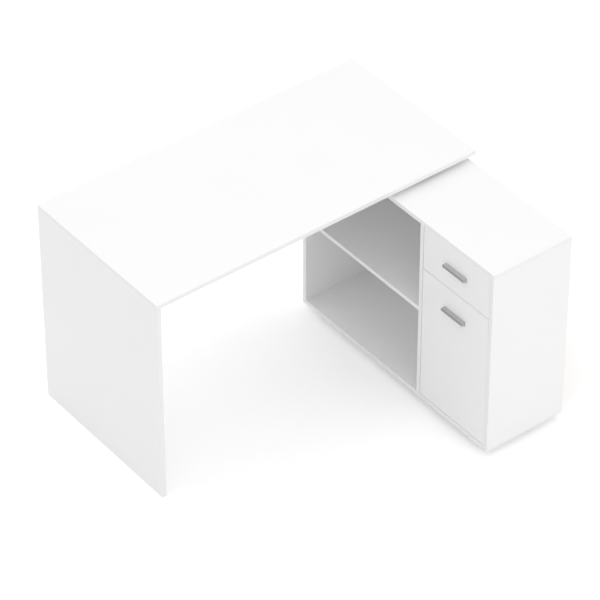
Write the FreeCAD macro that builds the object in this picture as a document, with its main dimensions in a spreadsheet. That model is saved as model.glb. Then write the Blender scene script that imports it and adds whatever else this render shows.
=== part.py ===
"""Corner desk: a worktop carried by a side panel and by a low cabinet set at right angles to it.

Frame: +X to the sitter's right, +Y away from the sitter, +Z up, millimetres. The origin is on the
floor, under the middle of the desk's overall box. "near" is towards -Y and "far" towards +Y.
Every board is a cut and drilled panel, and cams, pins and hinge cups stand in bores of their own.
"""
import FreeCAD, Part
import os
import Sketcher

os.makedirs("parts", exist_ok=True)
doc = FreeCAD.newDocument("corner_desk")
Vector = FreeCAD.Vector
Rotation = FreeCAD.Rotation

# ---------------------------------------------------------------- driving dimensions
SIZES = {
    # overall
    "desk_width": 1200, "desk_depth": 600, "desk_height": 750,
    "board": 15, "edge_break": 0.5,
    # cabinet
    "cabinet_length": 906, "cabinet_depth": 303, "cabinet_reach": 465, "cabinet_inset": 17,
    "riser_height": 16, "riser_width": 60, "riser_margin": 35,
    "door_bay_width": 307.5, "shelf_play": 1, "shelf_setback": 1,
    "back_thickness": 3, "back_setback": 8, "groove_depth": 6, "groove_play": 0.2,
    # plinth
    "plinth_height": 27, "plinth_setback": 50, "plinth_wall_setback": 55,
    # modesty panel
    "modesty_height": 350,
    # drawer front and door
    "front_recess": 1, "reveal": 1.5, "front_seam": 2.2, "drawer_front_height": 160,
    # drawer box
    "drawer_board": 12, "drawer_back_gap": 26, "drawer_side_height": 100, "drawer_lift": 18,
    "drawer_floor_lift": 10, "drawer_floor_thickness": 3, "drawer_groove_depth": 5.5,
    # roller runners
    "runner_gap": 12.5, "runner_start": 2, "runner_steel": 1.2,
    "runner_channel_height": 19, "runner_channel_width": 10.3, "runner_air": 0.6,
    "runner_lip": 8, "runner_flange_reach": 10.2, "runner_underlap": 0.4, "roller_notch": 26,
    "roller_radius": 8, "roller_width": 5.5, "roller_play": 0.3, "roller_end": 13,
    "roller_pin_radius": 2, "roller_pin_play": 0.05, "roller_rivet_radius": 3.4,
    "roller_rivet_head": 0.7, "front_roller_offset": 2, "rear_roller_offset": 5.2,
    # cast handles
    "handle_length": 96, "handle_depth": 15, "handle_height": 16, "handle_wall": 2,
    "handle_lip": 8.5, "handle_nose_radius": 1.5, "handle_boss_width": 8,
    "handle_boss_depth": 10, "handle_screw_spacing": 64, "handle_screw_radius": 1.65,
    "handle_screw_depth": 8, "handle_screw_play": 0.6, "door_handle_drop": 86,
    # concealed hinges
    "cup_radius": 17.5, "cup_depth": 11.5, "cup_play": 0.1, "cup_floor_play": 0.3,
    "cup_setback": 22.5, "cup_wall": 1.2, "cup_ear_height": 60, "cup_ear_width": 15,
    "cup_ear_offset": 2, "hinge_margin": 90, "hinge_plate_setback": 37,
    "hinge_plate_length": 36, "hinge_plate_height": 54, "hinge_plate_thickness": 3,
    "arm_length": 62, "arm_width": 15, "arm_height": 9, "arm_wall": 1.4,
    "arm_start": 2, "arm_nose": 8, "arm_crank": 10, "rib_play": 0.6,
    # cam locks and shelf pins
    "cam_radius": 7.4, "cam_height": 12, "cam_play": 0.1, "cam_floor_play": 0.5,
    "cam_sides": 12, "cam_setback": 24, "cam_slot_width": 7.6, "cam_slot_past": 4,
    "cam_drive_reach": 3.7, "cam_drive_width": 2, "cam_drive_depth": 2, "cam_margin": 40,
    "modesty_cam_margin": 200,
    "shelf_pin_radius": 2.5, "shelf_pin_length": 16, "shelf_pin_in": 8, "shelf_pin_margin": 40,
    "shelf_pin_play": 0.05,
}

dims = doc.addObject("Spreadsheet::Sheet", "dims")
for row, (alias, number) in enumerate(SIZES.items(), start=1):
    dims.set(f"A{row}", alias.replace("_", " "))
    dims.set(f"B{row}", str(number))
    dims.setAlias(f"B{row}", alias)
doc.recompute()

# ---------------------------------------------------------------- places worked out from the sizes
PLACES = {
    "desk_left": "-dims.desk_width / 2",
    "desk_front": "(dims.cabinet_reach - dims.desk_depth) / 2",
    "desk_back": "desk_front + dims.desk_depth",
    "desk_underside": "dims.desk_height - dims.board",
    "side_inner": "desk_left + dims.board",
    "cabinet_back": "dims.desk_width / 2 - dims.cabinet_inset",
    "cabinet_front": "cabinet_back - dims.cabinet_depth",
    "cabinet_near": "desk_front - dims.cabinet_reach",
    "cabinet_far": "cabinet_near + dims.cabinet_length",
    "carcass_top": "desk_underside - dims.riser_height",
    "bay_floor": "dims.plinth_height + dims.board",
    "bay_ceiling": "carcass_top - dims.board",
    "door_bay_near": "cabinet_near + dims.board",
    "door_bay_far": "door_bay_near + dims.door_bay_width",
    "open_bay_near": "door_bay_far + dims.board",
    "open_bay_far": "cabinet_far - dims.board",
    "back_panel_face": "cabinet_back - dims.back_setback - dims.back_thickness",
    "shelf_underside": "(bay_floor + bay_ceiling - dims.board) / 2",
    "front_face": "cabinet_front + dims.front_recess",
    "front_rear": "front_face + dims.board",
    "front_near": "door_bay_near + dims.reveal",
    "front_width": "dims.door_bay_width - 2 * dims.reveal",
    "front_middle": "front_near + front_width / 2",
    "drawer_front_bottom": "bay_ceiling - dims.reveal - dims.drawer_front_height",
    "door_bottom": "bay_floor + dims.reveal",
    "door_top": "drawer_front_bottom - dims.front_seam",
    "side_bottom": "drawer_front_bottom + dims.drawer_lift",
    "near_side_outer": "door_bay_near + dims.runner_gap",
    "far_side_outer": "door_bay_far - dims.runner_gap",
    "drawer_end": "back_panel_face - dims.drawer_back_gap",
    "drawer_length": "drawer_end - front_rear",
    "runner_length": "drawer_length",
    "drawer_floor": "side_bottom + dims.drawer_floor_lift",
    "runner_base": "side_bottom - dims.runner_steel - dims.runner_underlap",
    "runner_front": "front_rear + dims.runner_start",
    "plinth_front_face": "cabinet_front + dims.plinth_setback",
    "plinth_back_face": "cabinet_back - dims.plinth_wall_setback",
    "plinth_near_face": "cabinet_near + dims.plinth_setback",
    "plinth_far_face": "cabinet_far - dims.plinth_wall_setback",
    "modesty_bottom": "desk_underside - dims.modesty_height",
    "half_board": "dims.board / 2",
    "drawer_handle_height": "drawer_front_bottom + dims.drawer_front_height / 2",
    "door_handle_height": "door_top - dims.door_handle_drop",
    "upper_hinge_height": "door_top - dims.hinge_margin",
    "lower_hinge_height": "door_bottom + dims.hinge_margin",
    "arm_base": "dims.hinge_plate_thickness",
    "arm_top": "arm_base + dims.arm_height",
    "arm_underside": "arm_top - dims.arm_wall",
    "rib_half_height": "dims.arm_width / 2 - dims.arm_wall - dims.rib_play",
    "rear_roller_rise": "dims.runner_steel + dims.roller_play + dims.roller_radius",
    "drawer_rail_low": "dims.runner_underlap",
    "drawer_rail_seat": "dims.runner_underlap + dims.runner_steel",
    "drawer_rail_top": "dims.runner_channel_height + dims.runner_air + dims.runner_steel",
    "front_roller_rise":
        "drawer_rail_top - dims.runner_steel - dims.roller_play - dims.roller_radius",
}

at = doc.addObject("App::VarSet", "at")
for place, formula in PLACES.items():
    at.addProperty("App::PropertyFloat", place, "Places", "")
    at.setExpression(place, formula)
doc.recompute()


def value(formula):
    """The number that an expression gives now."""
    return float(at.evalExpression(str(formula)))


# ---------------------------------------------------------------- sketch and body helpers
def new_body(label):
    body = doc.addObject("PartDesign::Body", label)
    body.Label = label
    return body


def origin_plane(body, role):
    return next(f for f in body.Origin.OriginFeatures if f.Role == role)


def new_sketch(body, plane, label, offset="0"):
    """A sketch on one of the body's own origin planes, moved along the plane's normal."""
    sketch = body.newObject("Sketcher::SketchObject", label)
    sketch.AttachmentSupport = [(origin_plane(body, plane), "")]
    sketch.MapMode = "FlatFace"
    if offset != "0":
        sketch.setExpression("AttachmentOffset.Base.z", offset)
    return sketch


def pin_point(sketch, geometry, end, x, y):
    """Hold one point of a sketch at a pair of expressions."""
    for kind, axis, formula in (("DistanceX", -2, x), ("DistanceY", -1, y)):
        if formula == "0":
            sketch.addConstraint(Sketcher.Constraint("PointOnObject", geometry, end, axis))
            continue
        distance = Sketcher.Constraint(kind, -1, 1, geometry, end, value(formula))
        index = sketch.addConstraint(distance)
        sketch.setExpression(f"Constraints[{index}]", formula)


def add_polygon(sketch, corners):
    """A closed outline whose corners each follow their own pair of expressions."""
    points = [Vector(value(x), value(y), 0) for x, y in corners]
    first = sketch.GeometryCount
    count = len(points)
    for i in range(count):
        sketch.addGeometry(Part.LineSegment(points[i], points[(i + 1) % count]))
    for i in range(count):
        following = first + (i + 1) % count
        sketch.addConstraint(Sketcher.Constraint("Coincident", first + i, 2, following, 1))
    for i, (x, y) in enumerate(corners):
        pin_point(sketch, first + i, 1, x, y)


def add_rectangle(sketch, x, y, width, height):
    right = f"{x} + {width}"
    top = f"{y} + {height}"
    add_polygon(sketch, [(x, y), (right, y), (right, top), (x, top)])


def add_circle(sketch, x, y, radius):
    centre = Vector(value(x), value(y), 0)
    index = sketch.addGeometry(Part.Circle(centre, Vector(0, 0, 1), value(radius)))
    pin_point(sketch, index, 3, x, y)
    size = sketch.addConstraint(Sketcher.Constraint("Radius", index, value(radius)))
    sketch.setExpression(f"Constraints[{size}]", radius)


def pad(body, sketch, length, reverse=False, both_ways=False):
    feature = body.newObject("PartDesign::Pad", f"{sketch.Name}_pad")
    feature.Profile = sketch
    feature.setExpression("Length", length)
    feature.Reversed = reverse
    if both_ways:
        feature.Midplane = True
    sketch.Visibility = False
    doc.recompute()
    return feature


def pocket(body, sketch, depth, reverse=False):
    """Cut a sketch into the body, and make sure that it removes material."""
    before = body.Shape.Volume
    feature = body.newObject("PartDesign::Pocket", f"{sketch.Name}_pocket")
    feature.Profile = sketch
    feature.setExpression("Length", depth)
    feature.Reversed = reverse
    sketch.Visibility = False
    doc.recompute()
    if body.Shape.Volume >= before:
        raise RuntimeError(f"{body.Label}: {sketch.Name} removes nothing")
    return feature


def place(body, x, y, z):
    for axis, formula in zip("xyz", (x, y, z)):
        body.setExpression(f"Placement.Base.{axis}", formula)


def edge_names(shape, points):
    """Names of the edges whose middles lie on the given points."""
    near = 1e-3
    names = []
    for i, edge in enumerate(shape.Edges, start=1):
        if any((edge.CenterOfMass - point).Length < near for point in points):
            names.append(f"Edge{i}")
    if len(names) != len(points):
        raise RuntimeError("an edge to be broken wasn't found")
    return names


def break_edges(body, points, size):
    """Chamfer the edges at those points: the scraped arris of an edged board."""
    base = body.Tip
    feature = body.newObject("PartDesign::Chamfer", f"{body.Name}_arris")
    feature.Base = (base, edge_names(base.Shape, points))
    feature.setExpression("Size", size)
    doc.recompute()


def round_edge(body, point, radius, label):
    base = body.Tip
    feature = body.newObject("PartDesign::Fillet", label)
    feature.Base = (base, edge_names(base.Shape, [point]))
    feature.setExpression("Radius", radius)
    doc.recompute()


# ---------------------------------------------------------------- panels
class Panel:
    """A rectangular board. Its low corner is at origin, and holes are drilled at desk places."""

    # face: sketch plane, the two axes in that plane, the axis drilled along, and the side
    FACES = {
        "left": ("YZ_Plane", (1, 2), 0, False), "right": ("YZ_Plane", (1, 2), 0, True),
        "near": ("XZ_Plane", (0, 2), 1, False), "far": ("XZ_Plane", (0, 2), 1, True),
        "bottom": ("XY_Plane", (0, 1), 2, False), "top": ("XY_Plane", (0, 1), 2, True),
    }

    def __init__(self, label, origin, size, broken_edges=()):
        self.origin = origin
        self.size = size
        self.body = new_body(label)
        self.holes = 0
        outline = new_sketch(self.body, "XY_Plane", f"{label}_outline")
        add_rectangle(outline, "0", "0", size[0], size[1])
        pad(self.body, outline, size[2])
        place(self.body, *origin)
        if broken_edges:
            points = [self.edge_middle(name) for name in broken_edges]
            break_edges(self.body, points, "dims.edge_break")

    def edge_middle(self, name):
        """The middle of an edge named by its two faces, such as 'left top'."""
        middle = [value(length) / 2 for length in self.size]
        for face in name.split():
            _, _, axis, high = self.FACES[face]
            middle[axis] = value(self.size[axis]) if high else 0
        return Vector(*middle)

    def start_cut(self, face):
        """A sketch on one face, and whether a pocket from it must be reversed."""
        plane, _, axis, high = self.FACES[face]
        self.holes += 1
        sign = "-" if plane == "XZ_Plane" else ""
        offset = f"{sign}({self.size[axis]})" if high else "0"
        sketch = new_sketch(self.body, plane, f"{self.body.Name}_{face}_{self.holes}", offset)
        reverse = high if plane == "XZ_Plane" else not high
        return sketch, reverse

    def local(self, face, point):
        """The two in-plane coordinates of a desk place, as expressions."""
        _, axes, _, _ = self.FACES[face]
        return [f"({point[a]}) - ({self.origin[a]})" for a in axes]

    def drill(self, face, points, radius, depth):
        sketch, reverse = self.start_cut(face)
        for point in points:
            add_circle(sketch, *self.local(face, point), radius)
        pocket(self.body, sketch, depth, reverse)

    def groove(self, face, low, high, depth):
        """A straight groove between two desk places."""
        sketch, reverse = self.start_cut(face)
        (left, bottom), (right, top) = self.local(face, low), self.local(face, high)
        add_polygon(sketch, [(left, bottom), (right, bottom), (right, top), (left, top)])
        pocket(self.body, sketch, depth, reverse)


VERTICAL_EDGES = ["left near", "left far", "right near", "right far"]
TOP_EDGES = ["left top", "right top", "near top", "far top"]
BOTTOM_EDGES = ["left bottom", "right bottom", "near bottom", "far bottom"]
FRONT_EDGES = ["left top", "left bottom"]

desktop = Panel(
    "desktop", ("at.desk_left", "at.desk_front", "at.desk_underside"),
    ("dims.desk_width", "dims.desk_depth", "dims.board"),
    TOP_EDGES + VERTICAL_EDGES + ["right bottom", "far bottom"])

left_side_panel = Panel(
    "left_side_panel", ("at.desk_left", "at.desk_front", "0"),
    ("dims.board", "dims.desk_depth", "at.desk_underside"), VERTICAL_EDGES)

cabinet_top = Panel(
    "cabinet_top", ("at.cabinet_front", "at.cabinet_near", "at.bay_ceiling"),
    ("dims.cabinet_depth", "dims.cabinet_length", "dims.board"), TOP_EDGES + VERTICAL_EDGES)

cabinet_bottom = Panel(
    "cabinet_bottom", ("at.cabinet_front", "at.door_bay_near", "dims.plinth_height"),
    ("dims.cabinet_depth", "at.open_bay_far - at.door_bay_near", "dims.board"), FRONT_EDGES)

END_SIZE = ("dims.cabinet_depth", "dims.board", "at.bay_ceiling - dims.plinth_height")
near_end_panel = Panel(
    "near_end_panel", ("at.cabinet_front", "at.cabinet_near", "dims.plinth_height"),
    END_SIZE, VERTICAL_EDGES)
far_end_panel = Panel(
    "far_end_panel", ("at.cabinet_front", "at.open_bay_far", "dims.plinth_height"),
    END_SIZE, VERTICAL_EDGES)

divider_panel = Panel(
    "divider_panel", ("at.cabinet_front", "at.door_bay_far", "at.bay_floor"),
    ("at.back_panel_face - at.cabinet_front", "dims.board", "at.bay_ceiling - at.bay_floor"),
    ["left near", "left far"])

shelf = Panel(
    "shelf",
    ("at.cabinet_front + dims.shelf_setback", "at.open_bay_near + dims.shelf_play",
     "at.shelf_underside"),
    ("at.back_panel_face - at.cabinet_front - dims.shelf_setback",
     "at.open_bay_far - at.open_bay_near - 2 * dims.shelf_play", "dims.board"), FRONT_EDGES)

# the modesty panel stands against the cabinet's far end, and ties it to the side panel
modesty_panel = Panel(
    "modesty_panel", ("at.side_inner", "at.cabinet_far", "at.modesty_bottom"),
    ("at.cabinet_back - at.side_inner", "dims.board", "dims.modesty_height"), BOTTOM_EDGES)

# the back panel stands on the bottom of its groove and lies against the groove's front wall
BACK_TUCK = "(dims.groove_depth - dims.groove_play)"
back_panel = Panel(
    "back_panel",
    ("at.back_panel_face", f"at.door_bay_near - {BACK_TUCK}", "at.bay_floor - dims.groove_depth"),
    ("dims.back_thickness", f"at.open_bay_far - at.door_bay_near + 2 * {BACK_TUCK}",
     f"at.bay_ceiling - at.bay_floor + dims.groove_depth + {BACK_TUCK}"))


def groove_for_back():
    """Grooves for the back panel in the four boards round it."""
    low_x = "at.back_panel_face"
    high_x = "at.back_panel_face + dims.back_thickness + dims.groove_play"
    low = (low_x, "at.door_bay_near - dims.groove_depth", "at.bay_floor - dims.groove_depth")
    high = (high_x, "at.open_bay_far + dims.groove_depth", "at.bay_ceiling + dims.groove_depth")
    floor_low = (low_x, "at.door_bay_near", low[2])
    floor_high = (high_x, "at.open_bay_far", high[2])
    cabinet_top.groove("bottom", low, high, "dims.groove_depth")
    cabinet_bottom.groove("top", floor_low, floor_high, "dims.groove_depth")
    near_end_panel.groove("far", low, (high_x, high[1], "at.bay_ceiling"), "dims.groove_depth")
    far_end_panel.groove("near", low, (high_x, high[1], "at.bay_ceiling"), "dims.groove_depth")


groove_for_back()

# plinth: two long boards with crosspieces between them
PLINTH_LENGTH = "at.plinth_far_face - at.plinth_near_face"
plinth_front = Panel(
    "plinth_front", ("at.plinth_front_face", "at.plinth_near_face", "0"),
    ("dims.board", PLINTH_LENGTH, "dims.plinth_height"))
plinth_back = Panel(
    "plinth_back", ("at.plinth_back_face - dims.board", "at.plinth_near_face", "0"),
    ("dims.board", PLINTH_LENGTH, "dims.plinth_height"))
CROSS_PLACES = {
    "near": "at.plinth_near_face",
    "middle": "(at.plinth_near_face + at.plinth_far_face - dims.board) / 2",
    "far": "at.plinth_far_face - dims.board",
}
crosspieces = {}
for where, y in CROSS_PLACES.items():
    crosspieces[where] = Panel(
        f"plinth_{where}_crosspiece", ("at.plinth_front_face + dims.board", y, "0"),
        ("at.plinth_back_face - at.plinth_front_face - 2 * dims.board", "dims.board",
         "dims.plinth_height"))

# risers hold the worktop clear of the cabinet
RISER_LENGTH = "at.cabinet_far - at.desk_front - 2 * dims.riser_margin"
RISER_X = {
    "left": "at.cabinet_front + dims.riser_margin",
    "right": "at.cabinet_back - dims.riser_margin - dims.riser_width",
}
risers = {}
for where, x in RISER_X.items():
    risers[where] = Panel(
        f"{where}_riser", (x, "at.desk_front + dims.riser_margin", "at.carcass_top"),
        ("dims.riser_width", RISER_LENGTH, "dims.riser_height"))

# ---------------------------------------------------------------- drawer front, door and drawer box
ALL_EDGES = TOP_EDGES + BOTTOM_EDGES + VERTICAL_EDGES
drawer_front = Panel(
    "drawer_front", ("at.front_face", "at.front_near", "at.drawer_front_bottom"),
    ("dims.board", "at.front_width", "dims.drawer_front_height"), ALL_EDGES)
door_panel = Panel(
    "door_panel", ("at.front_face", "at.front_near", "at.door_bottom"),
    ("dims.board", "at.front_width", "at.door_top - at.door_bottom"), ALL_EDGES)

SIDE_SIZE = ("at.drawer_length", "dims.drawer_board", "dims.drawer_side_height")
drawer_near_side = Panel(
    "drawer_near_side", ("at.front_rear", "at.near_side_outer", "at.side_bottom"),
    SIDE_SIZE, ["near top", "far top"])
drawer_far_side = Panel(
    "drawer_far_side",
    ("at.front_rear", "at.far_side_outer - dims.drawer_board", "at.side_bottom"),
    SIDE_SIZE, ["near top", "far top"])
FLOOR_TOP = "at.drawer_floor + dims.drawer_floor_thickness"
BOX_NEAR = "at.near_side_outer + dims.drawer_board"
BOX_FAR = "at.far_side_outer - dims.drawer_board"
drawer_back = Panel(
    "drawer_back",
    ("at.drawer_end - dims.drawer_board", BOX_NEAR, f"{FLOOR_TOP} + dims.groove_play"),
    ("dims.drawer_board", f"{BOX_FAR} - ({BOX_NEAR})",
     f"at.side_bottom + dims.drawer_side_height - ({FLOOR_TOP} + dims.groove_play)"),
    ["left top", "right top"])
FLOOR_TUCK = "(dims.drawer_groove_depth - dims.groove_play)"
drawer_bottom = Panel(
    "drawer_bottom",
    (f"at.front_rear - {FLOOR_TUCK}", f"{BOX_NEAR} - {FLOOR_TUCK}", "at.drawer_floor"),
    (f"at.drawer_length + {FLOOR_TUCK}", f"{BOX_FAR} - ({BOX_NEAR}) + 2 * {FLOOR_TUCK}",
     "dims.drawer_floor_thickness"))


def groove_for_drawer_bottom():
    """Grooves for the drawer's bottom in its front and sides."""
    low = ("at.front_rear", f"{BOX_NEAR} - dims.drawer_groove_depth", "at.drawer_floor")
    high = ("at.drawer_end", f"{BOX_FAR} + dims.drawer_groove_depth",
            f"{FLOOR_TOP} + dims.groove_play")
    drawer_front.groove("right", low, high, "dims.drawer_groove_depth")
    drawer_near_side.groove("far", low, high, "dims.drawer_groove_depth")
    drawer_far_side.groove("near", low, high, "dims.drawer_groove_depth")


groove_for_drawer_bottom()

# ---------------------------------------------------------------- masters for repeated hardware
# Each master lies at its own origin. It is copied into a group and isn't written out itself.


def make_cam():
    """Cam lock: a many-sided casting with its face at z = 0, a cross drive and a bolt slot."""
    body = new_body("cam_master")
    casting = body.newObject("PartDesign::AdditivePrism", "cam_casting")
    casting.AttachmentSupport = [(origin_plane(body, "XY_Plane"), "")]
    casting.MapMode = "FlatFace"
    casting.setExpression("Polygon", "dims.cam_sides")
    casting.setExpression("AttachmentOffset.Base.z", "-dims.cam_height")
    casting.setExpression("Circumradius", "dims.cam_radius")
    casting.setExpression("Height", "dims.cam_height")
    doc.recompute()
    slot = new_sketch(body, "YZ_Plane", "cam_slot", "dims.cam_slot_past")
    add_rectangle(slot, "-dims.cam_slot_width / 2", "-at.half_board - dims.cam_slot_width / 2",
                  "dims.cam_slot_width", "dims.cam_slot_width")
    pocket(body, slot, "dims.cam_slot_past + 2 * dims.cam_radius")
    drive = new_sketch(body, "XY_Plane", "cam_drive")
    arm = "dims.cam_drive_reach"
    half = "dims.cam_drive_width / 2"
    add_polygon(drive, [
        (arm, f"-{half}"), (arm, half), (half, half), (half, arm), (f"-{half}", arm),
        (f"-{half}", half), (f"-{arm}", half), (f"-{arm}", f"-{half}"),
        (f"-{half}", f"-{half}"), (f"-{half}", f"-{arm}"), (half, f"-{arm}"),
        (half, f"-{half}")])
    pocket(body, drive, "dims.cam_drive_depth")
    return body


def make_shelf_pin():
    """Plain steel pin, standing on z = 0."""
    body = new_body("shelf_pin_master")
    sketch = new_sketch(body, "XY_Plane", "shelf_pin_round")
    add_circle(sketch, "0", "0", "dims.shelf_pin_radius")
    pad(body, sketch, "dims.shelf_pin_length")
    return body


def make_cup():
    """Hinge cup: it sinks along -X from x = 0, and its rim and ears lie on the door."""
    body = new_body("cup_master")
    disc = new_sketch(body, "YZ_Plane", "cup_disc")
    add_circle(disc, "0", "0", "dims.cup_radius - dims.cup_play")
    pad(body, disc, "dims.cup_depth - dims.cup_floor_play", reverse=True)
    ears = new_sketch(body, "YZ_Plane", "cup_ears")
    add_rectangle(ears, "dims.cup_ear_offset", "-dims.cup_ear_height / 2",
                  "dims.cup_ear_width", "dims.cup_ear_height")
    pad(body, ears, "dims.cup_wall")
    rim = new_sketch(body, "YZ_Plane", "cup_rim")
    add_circle(rim, "0", "0", "dims.cup_radius + dims.cup_wall")
    pad(body, rim, "dims.cup_wall")
    hollow = new_sketch(body, "YZ_Plane", "cup_hollow", "dims.cup_wall")
    add_circle(hollow, "0", "0", "dims.cup_radius - dims.cup_wall")
    pocket(body, hollow, "dims.cup_depth - dims.cup_floor_play")
    return body


def make_hinge_plate():
    """Mounting plate: an upright wing on the panel, and a rib that carries the arm."""
    body = new_body("hinge_plate_master")
    wing = new_sketch(body, "XZ_Plane", "plate_wing")
    add_rectangle(wing, "-dims.arm_width / 2", "-dims.hinge_plate_height / 2",
                  "dims.arm_width", "dims.hinge_plate_height")
    pad(body, wing, "dims.hinge_plate_thickness", reverse=True)
    rib = new_sketch(body, "XZ_Plane", "plate_rib")
    add_rectangle(rib, "-dims.hinge_plate_length / 2", "-at.rib_half_height",
                  "dims.hinge_plate_length", "2 * at.rib_half_height")
    pad(body, rib, "at.arm_underside", reverse=True)
    return body


def make_hinge_arm():
    """Cranked arm: a pressed channel, open towards the panel, whose nose reaches to the cup."""
    body = new_body("hinge_arm_master")
    outside = new_sketch(body, "XY_Plane", "arm_outside")
    add_polygon(outside, [
        ("dims.arm_start", "at.arm_top + dims.arm_crank"),
        ("dims.arm_start", "at.arm_base + dims.arm_crank"),
        ("dims.arm_start + dims.arm_nose", "at.arm_base + dims.arm_crank"),
        ("dims.arm_start + dims.arm_nose + dims.arm_crank", "at.arm_base"),
        ("dims.arm_length", "at.arm_base"),
        ("dims.arm_length", "at.arm_top"),
        ("dims.arm_start + dims.arm_nose + dims.arm_crank", "at.arm_top"),
        ("dims.arm_start + dims.arm_nose", "at.arm_top + dims.arm_crank"),
    ])
    pad(body, outside, "dims.arm_width", both_ways=True)
    inside = new_sketch(body, "XY_Plane", "arm_inside")
    add_polygon(inside, [
        ("dims.arm_start + dims.arm_wall", "at.arm_underside + dims.arm_crank"),
        ("dims.arm_start + dims.arm_wall", "at.arm_base + dims.arm_crank"),
        ("dims.arm_start + dims.arm_nose", "at.arm_base + dims.arm_crank"),
        ("dims.arm_start + dims.arm_nose + dims.arm_crank", "at.arm_base"),
        ("dims.arm_length", "at.arm_base"),
        ("dims.arm_length", "at.arm_underside"),
        ("dims.arm_start + dims.arm_nose + dims.arm_crank", "at.arm_underside"),
        ("dims.arm_start + dims.arm_nose", "at.arm_underside + dims.arm_crank"),
    ])
    cut = pocket(body, inside, "dims.arm_width - 2 * dims.arm_wall")
    cut.Midplane = True
    doc.recompute()
    return body


def make_handle(label, front, height):
    """Cast pull: top, front lip, taller back and closed ends round a hollow that is open below.

    Two screws come through the front that it stands on, each into a boss of the casting.
    """
    body = new_body(label)
    low = "-dims.handle_height / 2"
    high = "dims.handle_height / 2"
    wall = "dims.handle_wall"
    nose = "-dims.handle_depth"
    half = "dims.handle_length / 2"
    profile = new_sketch(body, "XZ_Plane", f"{label}_profile")
    add_polygon(profile, [("0", low), ("0", high), (nose, high),
                          (nose, f"{high} - dims.handle_lip")])
    pad(body, profile, "dims.handle_length", both_ways=True)
    round_edge(body, Vector(value(nose), 0, value(high)), "dims.handle_nose_radius",
               f"{label}_nose")
    hollow = new_sketch(body, "XY_Plane", f"{label}_hollow", f"{high} - {wall}")
    inner, outer = f"{nose} + {wall}", f"-{wall}"
    add_polygon(hollow, [(inner, f"{wall} - {half}"), (outer, f"{wall} - {half}"),
                         (outer, f"{half} - {wall}"), (inner, f"{half} - {wall}")])
    pocket(body, hollow, "dims.handle_height")
    # a boss for each screw, joined to the back and the top
    bosses = new_sketch(body, "YZ_Plane", f"{label}_bosses")
    holes = new_sketch(body, "YZ_Plane", f"{label}_screw_holes")
    for sign in ("-", ""):
        middle = f"{sign}dims.handle_screw_spacing / 2"
        near = f"{middle} - dims.handle_boss_width / 2"
        far = f"{middle} + dims.handle_boss_width / 2"
        foot = "-dims.handle_boss_width / 2"
        add_polygon(bosses, [(near, foot), (far, foot), (far, f"{high} - {wall} / 2"),
                             (near, f"{high} - {wall} / 2")])
        add_circle(holes, middle, "0", "dims.handle_screw_radius")
    pad(body, bosses, "dims.handle_boss_depth", reverse=True)
    pocket(body, holes, "dims.handle_screw_depth")
    place(body, "at.front_face", "at.front_middle", height)
    front.drill("left", [("at.front_face", f"at.front_middle {sign} dims.handle_screw_spacing / 2",
                          height) for sign in "-+"],
                "dims.handle_screw_radius + dims.handle_screw_play", "dims.board")


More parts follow.
